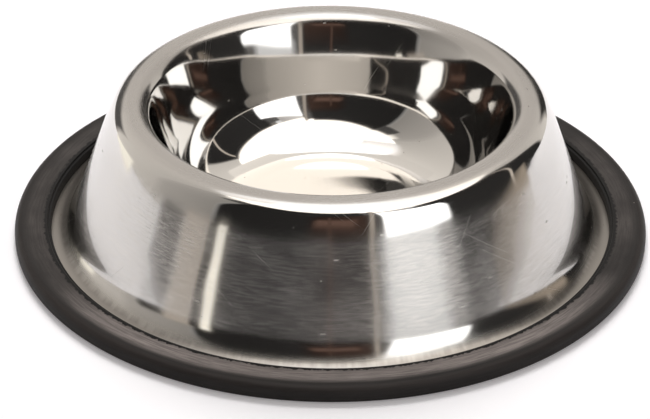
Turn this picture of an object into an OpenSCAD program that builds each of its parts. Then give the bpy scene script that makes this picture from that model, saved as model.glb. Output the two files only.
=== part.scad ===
// Non-tip dog bowl: one steel pressing that turns over at the rim into a
// flared skirt, and a rubber ring that grips the skirt's foot flange.
// Everything is turned about the Z axis, and z = 0 is the ground.

/* [Whole bowl] */
// Height from the ground to the top of the rim
bowl_h = 50; // [46:0.5:70]
// Outer diameter of the rubber ring
base_d = 220; // [190:1:280]
// Thickness of the steel sheet
sheet_t = 0.6; // [0.5:0.1:1.2]

/* [Basin] */
// Depth from the rim to the floor inside
basin_depth = 44; // [38:0.5:48]
// Radius of the bend from the wall to the floor
corner_r = 25; // [12:0.5:28]
// Lean of the wall from upright, just above the corner bend
wall_lean_low = 14; // [10:0.5:18]
// Lean of the wall from upright, just below the rim
wall_lean_top = 22; // [19:0.5:28]
// Radius of the gentle bulge that the wall makes between the two
wall_bulge_r = 120; // [60:1:125]

/* [Rim] */
// Radius of the roll on the inner side of the rim
inner_roll_r = 5.5; // [3:0.1:8]
// Radius of the roll on the outer side of the rim
outer_roll_r = 6.6; // [3:0.1:9]
// Width of the level crest between the two rolls
crest_w = 1.9; // [0.5:0.1:4]

/* [Skirt] */
// Lean of the skirt's straight middle from upright
skirt_lean = 20; // [14:0.5:24]
// Lean of the skirt from upright, where the rim's outer roll ends
shoulder_lean = 28; // [25:0.5:40]
// Radius of the gentle shoulder between the roll and the straight middle
shoulder_r = 60; // [20:1:100]
// Lean of the skirt from upright, where its flare ends and its toe starts
toe_lean = 42; // [30:0.5:60]
// Radius of the flare below the straight middle
flare_r = 18; // [8:0.5:30]
// Radius of the toe's tighter turn onto the level flange
toe_r = 5.5; // [2:0.1:8]
// Level steel between the toe and the step of the ring
flange_show_w = 2.1; // [1.2:0.05:8]
// Hidden width of the flange under the ring's top
flange_grip_w = 7.5; // [5:0.1:8]

/* [Rubber ring] */
// Width of the ring's flat top, from the step to the outer edge
ring_w = 11.5; // [10.5:0.1:16]
// Height of the ring
ring_h = 5.8; // [5.4:0.1:9]
// Rubber between the flange and the ground
ring_sole_t = 1.25; // [0.8:0.05:3]
// Radius of the ring's upper outer edge
ring_top_r = 3; // [1:0.1:3.4]
// Radius of the ring's lower outer edge
ring_low_r = 1.4; // [0.5:0.1:1.8]
// Width of the thin lip that seals against the steel
lip_w = 1.1; // [0.8:0.05:1.6]
// Drop from the ring's flat top to the lip
lip_drop = 0.65; // [0.3:0.05:1.4]
// Radius of the lip's rounded edge
lip_edge_r = 0.5; // [0.2:0.05:0.75]
// Gap between the flange's rim and the bottom of the ring's groove
groove_gap = 0.5; // [0.2:0.05:1]

/* [Hidden] */
$fn = 240;

// Steps in each arc of the outlines
fine_steps = 24;
bend_steps = 16;
gentle_steps = 8;
edge_steps = 6;

steel_colour = "lightgray";
rubber_colour = "dimgray";

// Levels
floor_z = bowl_h - basin_depth;
flange_z = ring_sole_t + sheet_t;

// Radii of the ring and the flange, from the outside in
ring_r = base_d / 2;
step_r = ring_r - ring_w;
lip_r = step_r - lip_w;
flange_r = step_r + flange_grip_w;
toe_end_r = step_r - flange_show_w;

// Unit normals of the steel's visible side, out of the skirt and into the basin
function out_normal(lean) = [cos(lean), sin(lean)];
function in_normal(lean) = [-cos(lean), sin(lean)];

// Centres of the toe and the flare, from the flange inward
toe_c = [toe_end_r, flange_z + toe_r];
flare_c = toe_c + (flare_r - toe_r) * out_normal(toe_lean);
flare_top = flare_c - flare_r * out_normal(skirt_lean);

// The straight middle rises from the flare to the shoulder, as far as the bowl's
// height leaves room for it between them
outer_roll_z = bowl_h - outer_roll_r;
shoulder_low_z = outer_roll_z - (shoulder_r - outer_roll_r) * sin(shoulder_lean)
    + shoulder_r * sin(skirt_lean);
shoulder_low = [flare_top.x - (shoulder_low_z - flare_top.y) * tan(skirt_lean), shoulder_low_z];
shoulder_c = shoulder_low - shoulder_r * out_normal(skirt_lean);
outer_roll_c = shoulder_c + (shoulder_r - outer_roll_r) * out_normal(shoulder_lean);

// Centres of the inner roll, the wall's bulge and the corner bend
inner_roll_c = [outer_roll_c.x - crest_w, bowl_h - inner_roll_r];
bulge_c = inner_roll_c - (wall_bulge_r - inner_roll_r) * in_normal(wall_lean_top);
bulge_end = bulge_c + wall_bulge_r * in_normal(wall_lean_low);
corner_start_z = floor_z + corner_r * (1 - sin(wall_lean_low));
corner_start = [
    bulge_end.x - (bulge_end.y - corner_start_z) * tan(wall_lean_low),
    corner_start_z
];
corner_c = corner_start + corner_r * in_normal(wall_lean_low);

// Points along an arc, from angle a to angle b
function arc(centre, radius, a, b, steps) = [
    for (i = [0 : steps])
        let (angle = a + (b - a) * i / steps)
            centre + radius * [cos(angle), sin(angle)]
];

// The steel's outline on one side of the sheet, at a depth below the visible
// side, from the axis to the rim of the flange
function steel_side(depth) = concat(
    [[0, floor_z - depth]],
    arc(corner_c, corner_r + depth, -90, -wall_lean_low, fine_steps),
    arc(bulge_c, wall_bulge_r - depth, 180 - wall_lean_low, 180 - wall_lean_top, gentle_steps),
    arc(inner_roll_c, inner_roll_r - depth, 180 - wall_lean_top, 90, bend_steps),
    arc(outer_roll_c, outer_roll_r - depth, 90, shoulder_lean, bend_steps),
    arc(shoulder_c, shoulder_r - depth, shoulder_lean, skirt_lean, gentle_steps),
    arc(flare_c, flare_r + depth, 180 + skirt_lean, 180 + toe_lean, gentle_steps),
    arc(toe_c, toe_r + depth, 180 + toe_lean, 270, gentle_steps),
    [[flange_r, flange_z - depth]]
);

function reversed(points) = [for (i = [len(points) - 1 : -1 : 0]) points[i]];

// The ring's outline: sole as far in as the toe, outer wall, flat top, step, lip
// and groove
function ring_outline() = concat(
    [[toe_end_r, 0]],
    arc([ring_r - ring_low_r, ring_low_r], ring_low_r, -90, 0, edge_steps),
    arc([ring_r - ring_top_r, ring_h - ring_top_r], ring_top_r, 0, 90, bend_steps),
    [[step_r, ring_h], [step_r, ring_h - lip_drop]],
    arc([lip_r + lip_edge_r, ring_h - lip_drop - lip_edge_r], lip_edge_r, 90, 180, edge_steps),
    [
        [lip_r, flange_z],
        [flange_r + groove_gap, flange_z],
        [flange_r + groove_gap, flange_z - sheet_t],
        [toe_end_r, flange_z - sheet_t]
    ]
);

module steel_bowl() {
    color(steel_colour)
        rotate_extrude()
            polygon(concat(steel_side(0), reversed(steel_side(sheet_t))));
}

module rubber_ring() {
    color(rubber_colour)
        rotate_extrude()
            polygon(ring_outline());
}

steel_bowl();
rubber_ring();
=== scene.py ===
import math
from functools import partial, reduce

import bmesh
import bpy
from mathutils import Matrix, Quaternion, Vector


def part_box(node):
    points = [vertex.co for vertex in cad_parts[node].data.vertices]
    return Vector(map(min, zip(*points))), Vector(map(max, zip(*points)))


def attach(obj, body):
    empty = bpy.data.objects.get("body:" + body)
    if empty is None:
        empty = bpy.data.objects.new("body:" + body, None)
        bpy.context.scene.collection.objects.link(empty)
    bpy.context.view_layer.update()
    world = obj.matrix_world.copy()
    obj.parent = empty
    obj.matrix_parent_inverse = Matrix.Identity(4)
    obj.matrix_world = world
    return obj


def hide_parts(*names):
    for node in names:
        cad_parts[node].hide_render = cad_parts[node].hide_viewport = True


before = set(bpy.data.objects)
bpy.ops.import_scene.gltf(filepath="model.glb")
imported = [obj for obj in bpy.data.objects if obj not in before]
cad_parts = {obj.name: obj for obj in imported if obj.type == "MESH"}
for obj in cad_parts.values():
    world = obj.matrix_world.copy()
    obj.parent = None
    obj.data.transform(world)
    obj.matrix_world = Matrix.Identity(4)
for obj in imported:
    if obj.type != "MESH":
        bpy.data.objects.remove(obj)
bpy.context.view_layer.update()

MM = 0.001
QUARTER = math.pi / 2
HALF_TURN = math.pi
FULL_TURN = 2 * math.pi

# The frame's own sizes
steel_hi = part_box("steel_bowl")[1]
ring_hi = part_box("rubber_ring")[1]
BOWL_H = steel_hi.z
FLANGE_R = steel_hi.x
RING_R = ring_hi.x
RING_H = ring_hi.z

# Sizes of the steel's section, the same as the solid's
SHEET_T = 0.6 * MM
BASIN_DEPTH = 44 * MM
CORNER_R = 25 * MM
BULGE_R = 120 * MM
WALL_LEAN_LOW = math.radians(14)
WALL_LEAN_TOP = math.radians(22)
INNER_ROLL_R = 5.5 * MM
OUTER_ROLL_R = 6.6 * MM
CREST_W = 1.9 * MM
SKIRT_LEAN = math.radians(20)
SHOULDER_LEAN = math.radians(28)
SHOULDER_R = 60 * MM
TOE_LEAN = math.radians(42)
FLARE_R = 18 * MM
TOE_R = 5.5 * MM
FLANGE_SHOW_W = 2.1 * MM

# Sizes of the ring's section, the same as the solid's, and the rounding of its step,
# which is sharp in the solid
RING_W = 11.5 * MM
SOLE_T = 1.25 * MM
RING_TOP_R = 3 * MM
RING_LOW_R = 1.4 * MM
LIP_W = 1.1 * MM
LIP_DROP = 0.65 * MM
LIP_EDGE_R = 0.5 * MM
STEP_EDGE_R = 0.35 * MM
GROOVE_GAP = 0.5 * MM

# Steps round the axis, spacing of points along an outline, and the angle between two
# faces from which their edge stays sharp
TURN_STEPS = 264
SHOWN_STEP = 0.7 * MM
HIDDEN_STEP = 1.8 * MM
FINE_TURN = math.radians(5)
SAME_PLACE = 1e-6
SHARP_ANGLE = math.radians(50)


def away(centre, distance, angle):
    """The point at a distance from a centre, along an angle from the r axis."""
    return (centre[0] + distance * math.cos(angle), centre[1] + distance * math.sin(angle))


def arc(centre, radius, start, end, step):
    """Points along an arc in the (r, z) plane, spaced by length and by turn."""
    turn = abs(end - start)
    count = max(math.ceil(turn * radius / step), math.ceil(turn / FINE_TURN))
    angles = [start + (end - start) * i / count for i in range(count + 1)]
    return [away(centre, radius, a) for a in angles]


def line(start, end, step):
    """Points along a straight stretch, both ends included."""
    count = max(1, math.ceil(math.dist(start, end) / step))
    return [
        tuple(s + (e - s) * i / count for s, e in zip(start, end))
        for i in range(count + 1)
    ]


def joined(*stretches):
    """One outline from stretches, with doubled points left out."""
    points = []
    for stretch in stretches:
        for p in stretch:
            if not points or math.dist(points[-1], p) > SAME_PLACE:
                points.append(p)
    return points


def run_length(points):
    """The length of an outline from its first point to its last."""
    return sum(math.dist(a, b) for a, b in zip(points, points[1:]))


# Places of the steel's arcs
floor_z = BOWL_H - BASIN_DEPTH
flange_z = SOLE_T + SHEET_T
step_r = RING_R - RING_W
lip_r = step_r - LIP_W
toe_c = (step_r - FLANGE_SHOW_W, flange_z + TOE_R)
flare_c = away(toe_c, FLARE_R - TOE_R, TOE_LEAN)
flare_top = away(flare_c, -FLARE_R, SKIRT_LEAN)
outer_roll_z = BOWL_H - OUTER_ROLL_R
shoulder_low_z = (
    outer_roll_z
    - (SHOULDER_R - OUTER_ROLL_R) * math.sin(SHOULDER_LEAN)
    + SHOULDER_R * math.sin(SKIRT_LEAN)
)
shoulder_low = (
    flare_top[0] - (shoulder_low_z - flare_top[1]) * math.tan(SKIRT_LEAN),
    shoulder_low_z,
)
shoulder_c = away(shoulder_low, -SHOULDER_R, SKIRT_LEAN)
outer_roll_c = away(shoulder_c, SHOULDER_R - OUTER_ROLL_R, SHOULDER_LEAN)
inner_roll_c = (outer_roll_c[0] - CREST_W, BOWL_H - INNER_ROLL_R)
bulge_c = away(inner_roll_c, -(BULGE_R - INNER_ROLL_R), HALF_TURN - WALL_LEAN_TOP)
bulge_end = away(bulge_c, BULGE_R, HALF_TURN - WALL_LEAN_LOW)
corner_start_z = floor_z + CORNER_R * (1 - math.sin(WALL_LEAN_LOW))
corner_start = (
    bulge_end[0] - (bulge_end[1] - corner_start_z) * math.tan(WALL_LEAN_LOW),
    corner_start_z,
)
corner_c = away(corner_start, CORNER_R, HALF_TURN - WALL_LEAN_LOW)


def basin_side(depth, step):
    """The basin's outline at a depth under its polished side, axis to wall's top."""
    corner = arc(corner_c, CORNER_R + depth, -QUARTER, -WALL_LEAN_LOW, step)
    low, top = HALF_TURN - WALL_LEAN_LOW, HALF_TURN - WALL_LEAN_TOP
    bulge = arc(bulge_c, BULGE_R - depth, low, top, step)
    middle = line((0, floor_z - depth), corner[0], step)
    return joined(middle, corner, line(corner[-1], bulge[0], step), bulge)


def rim_side(depth, step):
    """The rim's outline, over the two rolls and the crest between them."""
    inner = arc(inner_roll_c, INNER_ROLL_R - depth, HALF_TURN - WALL_LEAN_TOP, QUARTER, step)
    outer = arc(outer_roll_c, OUTER_ROLL_R - depth, QUARTER, SHOULDER_LEAN, step)
    return joined(inner, line(inner[-1], outer[0], step), outer)


def skirt_side(depth, step):
    """The skirt's outline, from the rim's outer roll down to the toe."""
    shoulder = arc(shoulder_c, SHOULDER_R - depth, SHOULDER_LEAN, SKIRT_LEAN, step)
    flare_from, flare_to = HALF_TURN + SKIRT_LEAN, HALF_TURN + TOE_LEAN
    flare = arc(flare_c, FLARE_R + depth, flare_from, flare_to, step)
    toe = arc(toe_c, TOE_R + depth, flare_to, HALF_TURN + QUARTER, step)
    return joined(shoulder, line(shoulder[-1], flare[0], step), flare, toe)


def steel_side(depth, step):
    """The sheet's whole outline at a depth under its polished side, axis to edge."""
    skirt = skirt_side(depth, step)
    flange = line(skirt[-1], (FLANGE_R, flange_z - depth), step)
    return joined(basin_side(depth, step), rim_side(depth, step), skirt, flange)


def ring_outline(step):
    """The rubber ring's closed outline, with its edges softened."""
    groove_r = FLANGE_R + GROOVE_GAP
    sole_r = toe_c[0]
    lip_z = RING_H - LIP_DROP
    low = arc((RING_R - RING_LOW_R, RING_LOW_R), RING_LOW_R, -QUARTER, 0, step)
    top = arc((RING_R - RING_TOP_R, RING_H - RING_TOP_R), RING_TOP_R, 0, QUARTER, step)
    edge_c = (step_r + STEP_EDGE_R, RING_H - STEP_EDGE_R)
    edge = arc(edge_c, STEP_EDGE_R, QUARTER, HALF_TURN, step)
    lip_c = (lip_r + LIP_EDGE_R, lip_z - LIP_EDGE_R)
    lip = arc(lip_c, LIP_EDGE_R, QUARTER, HALF_TURN, step)
    corners = [
        (lip_r, flange_z),
        (groove_r, flange_z),
        (groove_r, flange_z - SHEET_T),
        (sole_r, flange_z - SHEET_T),
        (sole_r, 0),
    ]
    inside = [line(a, b, step) for a, b in zip([lip[-1]] + corners, corners)]
    return joined(
        low,
        line(low[-1], top[0], step),
        top,
        line(top[-1], edge[0], step),
        edge,
        line(edge[-1], (step_r, lip_z), step),
        line((step_r, lip_z), lip[0], step),
        lip,
        *inside,
        line(corners[-1], low[0], step)[:-1],
    )


def placed(name, data):
    """A new object of the scene that holds the data."""
    thing = bpy.data.objects.new(name, data)
    bpy.context.scene.collection.objects.link(thing)
    return thing


def ring_of_points(bm, r, z):
    """Points of the mesh round the axis, or a single one on it."""
    if r < SAME_PLACE:
        return [bm.verts.new((0, 0, z))]
    turns = [FULL_TURN * k / TURN_STEPS for k in range(TURN_STEPS)]
    return [bm.verts.new((r * math.cos(t), r * math.sin(t), z)) for t in turns]


def bridge(bm, a, b):
    """Faces between two rings of points, one of which may be a single point."""
    for k in range(TURN_STEPS):
        m = (k + 1) % TURN_STEPS
        if len(a) == 1:
            bm.faces.new((a[0], b[k], b[m]))
        elif len(b) == 1:
            bm.faces.new((a[k], b[0], a[m]))
        else:
            bm.faces.new((a[k], b[k], b[m], a[m]))


def turned(name, outline, closed):
    """A mesh turned about Z from an outline, with its length along the outline kept."""
    bm = bmesh.new()
    along = bm.verts.layers.float.new("along")
    rings = []
    length = 0
    last = outline[0]
    for point in outline:
        length += math.dist(last, point)
        last = point
        rings.append(ring_of_points(bm, *point))
        for v in rings[-1]:
            v[along] = length
    for a, b in zip(rings, rings[1:]):
        bridge(bm, a, b)
    if closed:
        bridge(bm, rings[-1], rings[0])
    bmesh.ops.recalc_face_normals(bm, faces=bm.faces)
    for f in bm.faces:
        f.smooth = True
    for e in bm.edges:
        e.smooth = e.calc_face_angle(0) < SHARP_ANGLE
    mesh = bpy.data.meshes.new(name)
    bm.to_mesh(mesh)
    bm.free()
    return placed(name, mesh)


# The values between which most of a noise lies
NOISE_LOW = 0.3
NOISE_HIGH = 0.7


class Shader:
    """Adds nodes to a material or world by short calls and links what they are given."""

    def __init__(self, owner, output="ShaderNodeOutputMaterial"):
        owner.use_nodes = True
        self.owner = owner
        self.tree = owner.node_tree
        self.tree.nodes.clear()
        self.output = self.tree.nodes.new(output)

    def put(self, socket, value):
        if isinstance(value, bpy.types.NodeSocket):
            self.tree.links.new(value, socket)
        else:
            socket.default_value = value

    def add(self, kind, settings=None, **inputs):
        """A node of a kind, with its own settings and its inputs by name."""
        node = self.tree.nodes.new(kind)
        for key, value in (settings or {}).items():
            setattr(node, key, value)
        for key, value in inputs.items():
            self.put(node.inputs[key.replace("_", " ")], value)
        return node

    def fill(self, node, *values):
        """The first result of a node whose inputs are given in their order."""
        for socket, value in zip(node.inputs, values):
            self.put(socket, value)
        return node.outputs[0]

    def math(self, operation, a, b):
        return self.fill(self.add("ShaderNodeMath", {"operation": operation}), a, b)

    def total(self, *values):
        return reduce(partial(self.math, "ADD"), values)

    def product(self, *values):
        return reduce(partial(self.math, "MULTIPLY"), values)

    def rest(self, value):
        """What a value leaves of 1, and no less than 0."""
        settings = {"operation": "SUBTRACT", "use_clamp": True}
        return self.fill(self.add("ShaderNodeMath", settings), 1.0, value)

    def ramp(self, value, low, high, at_low=0.0, at_high=1.0):
        """A smooth change from one value to another between two values of the input."""
        node = self.add("ShaderNodeMapRange", {"interpolation_type": "SMOOTHSTEP"})
        return self.fill(node, value, low, high, at_low, at_high)

    def spread(self, noise, at_low=0.0, at_high=1.0):
        """A noise drawn out between two values."""
        return self.ramp(noise, NOISE_LOW, NOISE_HIGH, at_low, at_high)

    def noise(self, vector, scale, detail, roughness=0.5):
        node = self.add(
            "ShaderNodeTexNoise", Vector=vector, Scale=scale, Detail=detail, Roughness=roughness
        )
        return node.outputs["Fac"]

    def round_noise(self, cells, detail, roughness=0.5):
        """A noise laid round the axis, by round_places."""
        return self.noise(self.round_places(cells), 1.0, detail, roughness)

    def mix(self, share, a, b):
        """A colour between two others.

        The node has sockets of one name for each kind of data, so the colour's own are
        picked by number.
        """
        node = self.add("ShaderNodeMix", {"data_type": "RGBA"})
        self.put(node.inputs[0], share)
        self.put(node.inputs[6], a)
        self.put(node.inputs[7], b)
        return node.outputs[2]

    def blend(self, share, a, b):
        """A surface between two others."""
        return self.fill(self.add("ShaderNodeMixShader"), share, a, b)

    def bump(self, height, distance, under=None):
        node = self.add("ShaderNodeBump", Height=height, Distance=distance)
        if under:
            self.put(node.inputs["Normal"], under)
        return node.outputs["Normal"]

    def attribute(self, name):
        return self.add("ShaderNodeAttribute", {"attribute_name": name}).outputs["Fac"]

    def place(self):
        return self.add("ShaderNodeTexCoord").outputs["Object"]

    def vector(self, operation, *values, **inputs):
        node = self.add("ShaderNodeVectorMath", {"operation": operation}, **inputs)
        return self.fill(node, *values)

    def round_places(self, cells, twist=0.0):
        """Places by the turn round the axis and the length along the outline.

        cells are the cells for each radian and for each metre of the outline. twist
        turns the places by that many radians for each metre of the outline.
        """
        turn_cells, run_cells = cells
        along = self.attribute("along")
        flat = self.vector("MULTIPLY", self.place(), (1, 1, 0))
        turned_on = self.add(
            "ShaderNodeVectorRotate",
            {"rotation_type": "Z_AXIS"},
            Vector=self.vector("NORMALIZE", flat),
            Angle=self.product(along, twist),
        )
        scaled = self.vector("SCALE", turned_on.outputs[0], Scale=turn_cells)
        parts = self.add("ShaderNodeSeparateXYZ", Vector=scaled)
        run = self.product(along, run_cells)
        whole = self.add("ShaderNodeCombineXYZ")
        return self.fill(whole, parts.outputs["X"], parts.outputs["Y"], run)

    def dots(self, vector, scale, radius, kept):
        """1 inside small dots, of which only a share of the cells keep one."""
        cells = self.add("ShaderNodeTexVoronoi", Vector=vector, Scale=scale)
        chance = self.add("ShaderNodeSeparateColor", Color=cells.outputs["Color"]).outputs[0]
        near = self.ramp(cells.outputs["Distance"], radius / 2, radius, 1.0, 0.0)
        return self.product(near, self.math("LESS_THAN", chance, kept))

    def zone(self, start, end, margins):
        """1 between two lengths along the outline, moved inward by two margins.

        It fades out over a width that comes third in the margins.
        """
        start_margin, end_margin, fade = margins
        along = self.attribute("along")
        first = start + start_margin
        last = end - end_margin
        rise = self.ramp(along, first - fade / 2, first + fade / 2)
        fall = self.ramp(along, last - fade / 2, last + fade / 2, 1.0, 0.0)
        return self.product(rise, fall)

    def show(self, surface):
        """The material or world, with its surface linked."""
        self.tree.links.new(surface, self.output.inputs["Surface"])
        return self.owner


# Colours of the steel
POLISHED = (0.53, 0.507, 0.474, 1)
BRUSHED_DARK = (0.45, 0.432, 0.41, 1)
BRUSHED_LIGHT = (0.6, 0.577, 0.545, 1)
SATIN = (0.38, 0.365, 0.35, 1)
# Painted shade: the darker colour of the skirt's foot, toe and flange next to the ring
TOE_SHADE = (0.16, 0.145, 0.135, 1)
TOE_SHADE_AMOUNT = 0.65

# Margins and fade of the steel's zones, in from the ends of their stretch of the outline
RIM_MARGINS = (1.5 * MM, 4 * MM, 7 * MM)
BRUSHED_MARGINS = (4 * MM, 9 * MM, 12 * MM)
TOE_MARGINS = (-6 * MM, 0, 5 * MM)
UNDER_FADE = MM

# How far short of the skirt's end the painted shade over the toe and flange, next to the ring,
# starts and is full, and how ragged it starts
TOE_SHADE_FROM = 5.5 * MM
TOE_SHADE_FULL = 2.5 * MM
TOE_SHADE_RAGGED = 0.5 * MM

# The steel's noises, their heights, and how much they change the brushing
PATCHES = {"scale": 26, "detail": 3}
WAVES = {"scale": 42, "detail": 1}
TOE_SHADE_EDGE = {"cells": (40, 0), "detail": 3}
STREAKS = {"cells": (12, 1700), "detail": 5, "roughness": 0.8}
LINES = {"cells": (16, 1500), "detail": 5, "roughness": 0.8}
LINE_LOW = 0.35
LINE_HIGH = 0.65
WAVE_H = 0.22 * MM
STREAK_EFFECT = (0.78, 1.22)
PATCH_EFFECT = (0.8, 1.15)

# Pits, and fine cuts by their cells, their twist and the share of cells that hold one
PITS = {"scale": 420, "radius": 0.09, "kept": 0.02}
CUT_R = 0.3
CUTS = (
    ((420, 40), 9, 0.006),
    ((420, 34), -16, 0.005),
    ((24, 900), 2, 0.012),
)

# How rough each zone of the steel is, and how much of its second, sharper gloss it loses
MIRROR_ROUGH = (0.035, 0.07)
BRUSHED_ROUGH = 0.16
RIM_ROUGH = 0.2
TOE_ROUGH = 0.28
UNDER_ROUGH = 0.3
MARK_ROUGH = 0.3
BRUSHED_DULL = 0.62
RIM_DULL = 0.85
TOE_DULL = 0.95
UNDER_DULL = 0.9
MARK_DULL = 0.9


def steel_material():
    """Polished steel, finely brushed round the skirt and satin on the rim and toe."""
    s = Shader(bpy.data.materials.new("polished_steel"))
    rim_from = run_length(basin_side(0, SHOWN_STEP))
    skirt_from = rim_from + run_length(rim_side(0, SHOWN_STEP))
    skirt_to = skirt_from + run_length(skirt_side(0, SHOWN_STEP))
    shown_to = run_length(steel_side(0, SHOWN_STEP))

    along = s.attribute("along")
    rim = s.zone(rim_from, skirt_from, RIM_MARGINS)
    middle = s.zone(skirt_from, skirt_to, BRUSHED_MARGINS)
    toe = s.zone(skirt_to, shown_to, TOE_MARGINS)
    under = s.ramp(along, shown_to, shown_to + UNDER_FADE)
    # Painted shade darkens the steel from a ragged line a few millimetres above the skirt's end
    # down to the sheet's edge
    ragged = s.spread(s.round_noise(**TOE_SHADE_EDGE), -TOE_SHADE_RAGGED, TOE_SHADE_RAGGED)
    low = s.ramp(s.total(along, ragged), skirt_to - TOE_SHADE_FROM, skirt_to - TOE_SHADE_FULL)
    toe_shade = s.product(low, s.rest(under))

    patches = s.noise(s.place(), **PATCHES)
    streaks = s.round_noise(**STREAKS)
    brushing = s.product(s.spread(streaks, *STREAK_EFFECT), s.spread(patches, *PATCH_EFFECT))
    lines = s.ramp(s.round_noise(**LINES), LINE_LOW, LINE_HIGH)
    pits = s.dots(s.place(), **PITS)
    cuts = [s.dots(s.round_places(cells, twist), 1.0, CUT_R, kept) for cells, twist, kept in CUTS]
    marks = s.math("MAXIMUM", pits, s.total(*cuts))

    roughness = s.total(
        s.spread(patches, *MIRROR_ROUGH),
        s.product(middle, brushing, BRUSHED_ROUGH),
        s.product(rim, brushing, RIM_ROUGH),
        s.product(toe, TOE_ROUGH),
        s.product(under, UNDER_ROUGH),
        s.product(marks, MARK_ROUGH),
    )
    dulled = s.total(
        s.product(rim, RIM_DULL),
        s.product(middle, lines, BRUSHED_DULL),
        s.product(toe, TOE_DULL),
        s.product(under, UNDER_DULL),
        s.product(marks, MARK_DULL),
    )
    brushed = s.mix(lines, BRUSHED_DARK, BRUSHED_LIGHT)
    # clean is the steel's colour before the painted shade at its foot is mixed in
    clean = s.mix(rim, s.mix(middle, POLISHED, brushed), SATIN)
    colour = s.mix(s.product(toe_shade, TOE_SHADE_AMOUNT), clean, TOE_SHADE)
    waves = s.bump(s.noise(s.place(), **WAVES), WAVE_H)
    tangent = s.add("ShaderNodeTangent", {"direction_type": "RADIAL", "axis": "Z"})
    body = s.add(
        "ShaderNodeBsdfPrincipled",
        Metallic=1.0,
        Base_Color=colour,
        Roughness=roughness,
        Anisotropic=0.75,
        Anisotropic_Rotation=0.25,
        Tangent=tangent.outputs[0],
        Normal=waves,
        Coat_Weight=s.rest(dulled),
        Coat_Roughness=0.06,
        Coat_IOR=3.4,
        Coat_Normal=waves,
    )
    return s.show(body.outputs[0])


# Colours of the rubber
BLACK_DARK = (0.008, 0.0072, 0.007, 1)
BLACK_LIGHT = (0.013, 0.0115, 0.011, 1)
WORN = (0.034, 0.026, 0.023, 1)
# Painted shade: the darker black of the band at the step
STEP_SHADE = (0.006, 0.0055, 0.0055, 1)
# Pale dust colour, used both for real dust and for painted light on the ring's front top
DUST_AND_PAINTED_LIGHT = (0.32, 0.275, 0.255, 1)
WORN_AMOUNT = 0.35
DUST_AND_PAINTED_LIGHT_AMOUNT = 0.9

# Margins and fade of the rubber's zones, in from the ends of their stretch of the outline
INNER_MARGINS = (1.4 * MM, 0.4 * MM, 3.4 * MM)
ROLL_MARGINS = (1.2 * MM, MM, 1.6 * MM)
STEP_MARGINS = (0, 0, 0.4 * MM)

# How far short of the step the painted shade, darker and without dust, starts and is full, and how
# ragged it starts
STEP_SHADE_FROM = 1.1 * MM
STEP_SHADE_FULL = 0.8 * MM
STEP_SHADE_RAGGED = 0.45 * MM

# The rubber's noises and bumps
RUBBER_PATCHES = {"scale": 34, "detail": 3}
RUBBER_STREAKS = {"cells": (9, 1500), "detail": 4, "roughness": 0.7}
RUBBER_GRAIN = {"scale": 2600, "detail": 2}
STEP_SHADE_EDGE = {"cells": (55, 0), "detail": 3}
SPECKS = {"scale": 300, "radius": 0.12, "kept": 0.03}
GRAIN_H = 0.02 * MM
STREAK_H = 0.06 * MM

# How much dust lies on the rubber, and the part of its front where painted light is laid on as
# thick pale dust
DUST_STREAKS = (0.3, 0.68, 0.5, 1.0)
ALL_DUST = 0.04
PATCH_DUST = 0.14
FRONT_PAINTED_LIGHT = 0.96
SPECK_DUST = 0.6
FRONT_Y = -0.85 * RING_R
FRONT_END_Y = -0.35 * RING_R

# How rough the rubber is
GRAIN_ROUGH = (0.54, 0.62)
DUST_ROUGH = 0.12
WORN_ROUGH = -0.1


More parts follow.
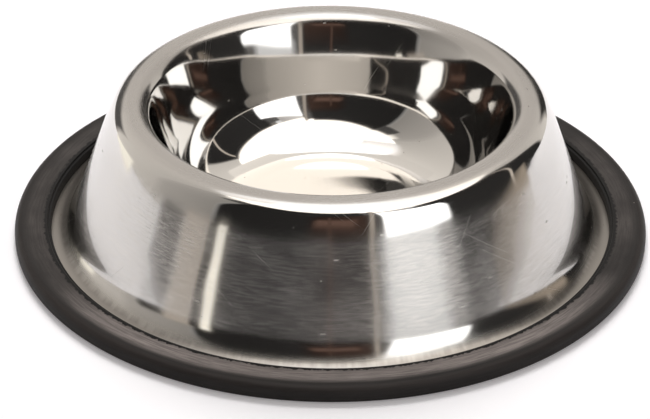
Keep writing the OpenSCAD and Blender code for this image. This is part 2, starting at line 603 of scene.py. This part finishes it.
def rubber_material():
    """Moulded black rubber, worn smooth at its edges, with dust in its grain.

    Painted light lies as a pale dust colour on the flat top of the ring's front, and
    painted shade, darker and without dust, runs from just short of the step inward.
    """
    s = Shader(bpy.data.materials.new("black_rubber"))
    roll_from = QUARTER * RING_LOW_R + RING_H - RING_TOP_R - RING_LOW_R
    top_from = roll_from + QUARTER * RING_TOP_R
    top_to = top_from + RING_W - RING_TOP_R - STEP_EDGE_R
    step_edge_to = top_to + QUARTER * STEP_EDGE_R

    along = s.attribute("along")
    inner = s.zone(top_from, top_to, INNER_MARGINS)
    roll = s.zone(roll_from, top_from, ROLL_MARGINS)
    edges = s.total(roll, s.zone(top_to, step_edge_to, STEP_MARGINS))
    y = s.add("ShaderNodeSeparateXYZ", Vector=s.place()).outputs["Y"]
    # Painted light: the flat top of the ring's front is made paler, laid on as thick dust
    front = s.ramp(y, FRONT_Y, FRONT_END_Y, 1.0, 0.0)
    # Painted shade: clean marks the band from just short of the step inward, darker and without
    # dust
    ragged = s.spread(s.round_noise(**STEP_SHADE_EDGE), -STEP_SHADE_RAGGED, STEP_SHADE_RAGGED)
    clean = s.ramp(s.total(along, ragged), top_to - STEP_SHADE_FROM, top_to - STEP_SHADE_FULL)

    patches = s.noise(s.place(), **RUBBER_PATCHES)
    streaks = s.round_noise(**RUBBER_STREAKS)
    grain = s.noise(s.place(), **RUBBER_GRAIN)
    specks = s.dots(s.place(), **SPECKS)
    lying_dust_and_painted_light = s.total(
        ALL_DUST,
        s.product(inner, s.spread(patches), PATCH_DUST),
        s.product(inner, front, FRONT_PAINTED_LIGHT),
    )
    streaked = s.product(s.ramp(streaks, *DUST_STREAKS), lying_dust_and_painted_light)
    dust_and_painted_light = s.product(s.math("MAXIMUM", streaked, s.product(specks, SPECK_DUST)), s.rest(clean))

    black = s.mix(s.spread(patches), BLACK_DARK, BLACK_LIGHT)
    worn = s.mix(s.product(edges, WORN_AMOUNT), black, WORN)
    # The pale colour carries the real dust and the painted light on the front top
    colour = s.mix(s.product(dust_and_painted_light, DUST_AND_PAINTED_LIGHT_AMOUNT), s.mix(clean, worn, STEP_SHADE), DUST_AND_PAINTED_LIGHT)
    roughness = s.total(
        s.spread(grain, *GRAIN_ROUGH),
        s.product(dust_and_painted_light, DUST_ROUGH),
        s.product(edges, WORN_ROUGH),
    )
    body = s.add(
        "ShaderNodeBsdfPrincipled",
        Base_Color=colour,
        Roughness=roughness,
        IOR=1.3,
        Specular_IOR_Level=0.36,
        Normal=s.bump(grain, GRAIN_H, under=s.bump(streaks, STREAK_H)),
    )
    return s.show(body.outputs[0])


def make_steel():
    """The bowl, as a closed sheet between its polished side and its underside."""
    shown = steel_side(0, SHOWN_STEP)
    under = steel_side(SHEET_T, HIDDEN_STEP)
    piece = turned("steel_bowl_polished", shown + under[::-1], closed=False)
    piece.data.materials.append(steel_material())
    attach(piece, "root")
    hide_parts("steel_bowl")


def make_ring():
    """The rubber ring round the bowl's foot."""
    piece = turned("rubber_ring_moulded", ring_outline(SHOWN_STEP), closed=True)
    piece.data.materials.append(rubber_material())
    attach(piece, "root")
    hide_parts("rubber_ring")


# Distances of the studio's cards, the gap between two layers of them, and the widest
# step of a card in degrees
CARD_FAR = 3
BOARD_FAR = 0.5
LAYER_GAP = 0.05
CARD_STEP = 4

# Tints of the cards
NEUTRAL = (1, 1, 1)
WARM_GREY = (1, 0.955, 0.92)
PALE_BEIGE = (1, 0.94, 0.87)
BEIGE = (1, 0.88, 0.76)
CREAM = (1, 0.95, 0.84)
TAN = (1, 0.84, 0.68)
RED_BROWN = (1, 0.6, 0.46)


def toward(azimuth, elevation):
    """A direction by azimuth, 0 toward the camera and 90 to its right, and elevation."""
    a, e = math.radians(azimuth), math.radians(elevation)
    return Vector((math.sin(a) * math.cos(e), -math.cos(a) * math.cos(e), math.sin(e)))


def stops(ends, soft):
    """Places from one end of a card to the other, each with how much it covers."""
    first, last = ends[0] + soft / 2, ends[1] - soft / 2
    count = max(2, math.ceil((last - first) / CARD_STEP))
    inner = [(first + (last - first) * i / count, 1) for i in range(count + 1)]
    return [(ends[0] - soft / 2, 0)] + inner + [(ends[1] + soft / 2, 0)] if soft else inner


def share_of(value, ends):
    """How far a value is from one end to the other, from 0 to 1."""
    return min(1, max(0, (value - ends[0]) / (ends[1] - ends[0])))


def card_material(name, tint, soft):
    """Light of one tint, as bright as the card's points say, and clear past its edges."""
    s = Shader(bpy.data.materials.new(name))
    light = s.add("ShaderNodeEmission", Color=(*tint, 1), Strength=s.attribute("glow")).outputs[0]
    if soft:
        clear = s.add("ShaderNodeBsdfTransparent").outputs[0]
        light = s.blend(s.attribute("cover"), clear, light)
    return s.show(light)


def card(
    name,
    azimuths,
    elevations,
    glow,
    tint=NEUTRAL,
    layer=0,
    bend=0,
    slope=0,
    soft=0,
    distance=CARD_FAR,
):
    """A curved card between two azimuths and two elevations, both in degrees.

    glow is one brightness, or two that it fades between from left to right. A higher
    layer stands nearer. bend turns the card's top to the right, slope lowers its top
    right corner, and its edges fade out over a soft width, all in degrees.
    """
    left_glow, right_glow = glow if isinstance(glow, tuple) else (glow, glow)
    columns = stops(azimuths, soft)
    rows = stops(elevations, soft)
    places = []
    glows = []
    covers = []
    for elevation, row_cover in rows:
        up = share_of(elevation, elevations)
        for azimuth, column_cover in columns:
            across = share_of(azimuth, azimuths)
            aim = toward(azimuth + bend * up**2, elevation - slope * across * up)
            places.append(aim * (distance - layer * LAYER_GAP))
            glows.append(left_glow + (right_glow - left_glow) * across)
            covers.append(row_cover * column_cover)
    width = len(columns)
    faces = [
        (a, a + 1, a + width + 1, a + width)
        for j in range(len(rows) - 1)
        for a in range(j * width, j * width + width - 1)
    ]
    mesh = bpy.data.meshes.new(name)
    mesh.from_pydata(places, [], faces)
    mesh.attributes.new("glow", "FLOAT", "POINT").data.foreach_set("value", glows)
    mesh.attributes.new("cover", "FLOAT", "POINT").data.foreach_set("value", covers)
    mesh.materials.append(card_material(name, tint, soft))
    sheet = placed(name, mesh)
    sheet.visible_camera = False
    sheet.visible_diffuse = False
    sheet.visible_shadow = False


def board(name, azimuths, height, glow, tint=NEUTRAL, distance=BOARD_FAR, soft=0):
    """A low card that stands on the floor nearer the bowl, as high as its height says."""
    rise = math.degrees(math.atan2(height, distance))
    card(name, azimuths, (0, rise), glow, tint, soft=soft, distance=distance)


# Azimuths and elevations in degrees at which several cards end
AROUND = 360
FRONT_EDGE = 18
RIGHT_CORNER = 142
BACK_SEAM = 195
LEFT_CORNER = 218
LEFT_EDGE = -100
UNDER_FLOOR = -2
LOW_TOP = 22
BACK_WALL_TOP = 42
WALL_TOP = 50
HIGH_WALL_TOP = 62
CEILING_TOP = 77
ZENITH = 90


def make_ceiling():
    """The pale ceiling and the tops of the walls."""
    front = (LEFT_EDGE, FRONT_EDGE)
    right = (FRONT_EDGE, RIGHT_CORNER)
    back = (RIGHT_CORNER, LEFT_CORNER)
    left = (LEFT_CORNER - AROUND, LEFT_EDGE)
    upper = (HIGH_WALL_TOP, CEILING_TOP)
    card("overhead", (-AROUND / 2, AROUND / 2), (CEILING_TOP, ZENITH), 3.4)
    card("ceiling_front", front, (WALL_TOP, CEILING_TOP), 2.25, PALE_BEIGE, layer=-1)
    card("back_sky", back, (BACK_WALL_TOP, HIGH_WALL_TOP), (1.15, 0.9), PALE_BEIGE, layer=1)
    card("back_top", back, upper, 2.1, layer=1)
    card("high_left", left, upper, (2.1, 1.2), WARM_GREY, layer=2, soft=5)
    card("high_right", right, (WALL_TOP, CEILING_TOP), 2.25, PALE_BEIGE)


def make_front():
    """The dark front of the room, with dim red things and the light strip in it."""
    dark = (UNDER_FLOOR, 62.5)
    card("dark_front", (-57, FRONT_EDGE), dark, (0.02, 0.032), WARM_GREY, layer=2, slope=6, soft=3)
    card("dark_upper", (-74, -55), (51, 61), 0.08, WARM_GREY, layer=3, soft=2)
    card("red_glow", (-9, 20), (14, 40), (0.03, 0.07), RED_BROWN, layer=3, soft=9)
    card("red_bar", (-8, 12), (20, 26), 0.17, RED_BROWN, layer=4, soft=4)
    card("red_line", (-0.8, 0.4), (0, 34), 0.12, RED_BROWN, layer=5, soft=1)
    card("strip_gap", (14, 26), (UNDER_FLOOR, 54), 0.14, WARM_GREY, layer=1)
    card("light_strip", (FRONT_EDGE, 20.5), (0, 56), 0.5, BEIGE, layer=4, bend=6, soft=1)


def make_right():
    """The large soft box at the right and the dark beyond it."""
    card("right_gap", (47, 66), (UNDER_FLOOR, 46), 0.12, WARM_GREY, layer=1)
    card("softbox_foot", (24, 50), (UNDER_FLOOR, 14), 0.82, layer=2, soft=5)
    card("softbox", (26, 58.5), (10, 47), 2.5, layer=3, slope=12, soft=2)
    card("over_softbox", (26, 47), (0, WALL_TOP), (0.95, 0.6), WARM_GREY, layer=1)
    dark = (UNDER_FLOOR, WALL_TOP)
    card("dark_right", (57, 127), dark, (0.033, 0.028), WARM_GREY, layer=2, soft=3)
    card("edge_right", (96.5, 98.5), (0, 48), 0.75, BEIGE, layer=3, bend=24, soft=0.8)


def make_walls():
    """The pale walls at the left, at the right and behind, with their dark feet."""
    back = (RIGHT_CORNER, BACK_SEAM)
    left = (BACK_SEAM - AROUND, -86)
    card("wall_left", left, (0, HIGH_WALL_TOP), (1.08, 0.6), PALE_BEIGE)
    card("wall_left_near", (-91, -55), (0, 60), (0.52, 0.33), PALE_BEIGE, layer=1, soft=8)
    card("wall_right", (52, RIGHT_CORNER), (0, WALL_TOP), (0.2, 0.88), PALE_BEIGE)
    card("wall_back", back, (0, BACK_WALL_TOP), (0.88, 1.08), PALE_BEIGE)
    card("back_low_right", (144, 170), (0, LOW_TOP), 0.04, WARM_GREY, layer=2, soft=6)
    card("back_low_left", (192, 226), (0, LOW_TOP), 0.12, WARM_GREY, layer=2, soft=6)


def make_boards():
    """Laths and boards that stand near the bowl, each at its own distance."""
    board("beige_box", (-66, -53), 0.1, 0.56, BEIGE, distance=0.49, soft=3)
    board("dark_box", (-79, -66.5), 0.07, 0.02, WARM_GREY, soft=4)
    board("cream_lath", (-49.4, -45.4), 0.1, 1.7, CREAM, distance=0.47, soft=1.6)
    board("dark_lath", (-54, -50.4), 0.095, 0.02, WARM_GREY, distance=0.48, soft=1.4)
    board("cream_board", (-125, -105), 0.055, 1.3, CREAM, soft=3)
    board("right_board", (56, 80), 0.03, 0.05, WARM_GREY)
    card("beige_board", (66, 98), (0, 4), (0.26, 0.48), TAN, slope=-13, soft=3, distance=0.3)


def seen_directly(s):
    """1 for camera, glossy and transmission rays, else 0."""
    path = s.add("ShaderNodeLightPath")
    glossy = s.math("MAXIMUM", path.outputs["Is Camera Ray"], path.outputs["Is Glossy Ray"])
    return s.math("MAXIMUM", glossy, path.outputs["Is Transmission Ray"])


# The floor's half width in metres, how far it lies under the bowl, and how much light of
# its own is added where it is looked at
FLOOR_HALF_W = 8
FLOOR_DROP = 0.02 * MM
FLOOR_COLOUR = (0.92, 0.9, 0.905, 1)
FLOOR_GLOW = (1, 0.95, 0.97, 1)
FLOOR_LIFT = 0.16


def make_floor():
    """A pale floor that keeps the bowl's shadow and is lifted to white in the open."""
    w = FLOOR_HALF_W
    corners = [(x, y, -FLOOR_DROP) for x, y in ((-w, -w), (w, -w), (w, w), (-w, w))]
    mesh = bpy.data.meshes.new("floor")
    mesh.from_pydata(corners, [], [(0, 1, 2, 3)])
    s = Shader(bpy.data.materials.new("pale_floor"))
    matte = s.add("ShaderNodeBsdfDiffuse", Color=FLOOR_COLOUR)
    lift = s.product(seen_directly(s), FLOOR_LIFT)
    glow = s.add("ShaderNodeEmission", Color=FLOOR_GLOW, Strength=lift)
    both = s.fill(s.add("ShaderNodeAddShader"), matte.outputs[0], glow.outputs[0])
    mesh.materials.append(s.show(both))
    floor = placed("floor", mesh)


# The world's light on matte surfaces, and what is seen and reflected of it
SOFT_COLOUR = (1, 0.99, 0.98, 1)
SOFT_LIGHT = 0.39
WHITE = (1, 1, 1, 1)


def make_world():
    """Soft light for matte surfaces; white to look at and to reflect."""
    world = bpy.data.worlds.new("studio")
    bpy.context.scene.world = world
    s = Shader(world, "ShaderNodeOutputWorld")
    soft = s.add("ShaderNodeBackground", Color=SOFT_COLOUR, Strength=SOFT_LIGHT)
    white = s.add("ShaderNodeBackground", Color=WHITE, Strength=1.0)
    s.show(s.blend(seen_directly(s), soft.outputs[0], white.outputs[0]))


# The lamp behind the bowl, in degrees, metres and watts
LAMP_AZIMUTH = 180
LAMP_ELEVATION = 52
LAMP_FAR = 2.9
LAMP_W = 1.5
LAMP_POWER = 70


def make_lamp():
    """A wide soft lamp high behind the bowl, which throws its short shadow forward."""
    data = bpy.data.lights.new("back_lamp", "AREA")
    data.shape = "DISK"
    data.size = LAMP_W
    data.energy = LAMP_POWER
    lamp = placed("back_lamp", data)
    aim = toward(LAMP_AZIMUTH, LAMP_ELEVATION)
    lamp.location = aim * LAMP_FAR
    lamp.rotation_mode = "QUATERNION"
    lamp.rotation_quaternion = aim.to_track_quat("Z", "Y")
    lamp.visible_glossy = False


# The photo's camera, with its focal length in pixels and Blender's sensor in millimetres
IMAGE_W_PX = 650
FOCUS_PX = 2608
SENSOR_W = 36
CAMERA_TILT = math.radians(30.89)
CAMERA_ROLL = math.radians(0.18)
CAMERA_FAR = 912.7 * MM
CAMERA_AIM = Vector((-1.87 * MM, 0, 5.5 * MM))
CLIP_SPAN = 20


def make_camera():
    """A camera at the photo's angle and distance."""
    back = Vector((0, -math.cos(CAMERA_TILT), math.sin(CAMERA_TILT)))
    data = bpy.data.cameras.new("camera")
    data.sensor_width = SENSOR_W
    data.lens = FOCUS_PX / IMAGE_W_PX * SENSOR_W
    data.clip_start = CAMERA_FAR / CLIP_SPAN
    data.clip_end = CAMERA_FAR * CLIP_SPAN
    camera = placed("camera", data)
    camera.location = CAMERA_AIM + back * CAMERA_FAR
    camera.rotation_mode = "QUATERNION"
    level = (-back).to_track_quat("-Z", "Y")
    camera.rotation_quaternion = level @ Quaternion((0, 0, 1), CAMERA_ROLL)
    bpy.context.scene.camera = camera


make_camera()
make_steel()
make_ring()
make_ceiling()
make_front()
make_right()
make_walls()
make_boards()
make_floor()
make_world()
make_lamp()

bpy.context.scene.view_settings.view_transform = "Standard"
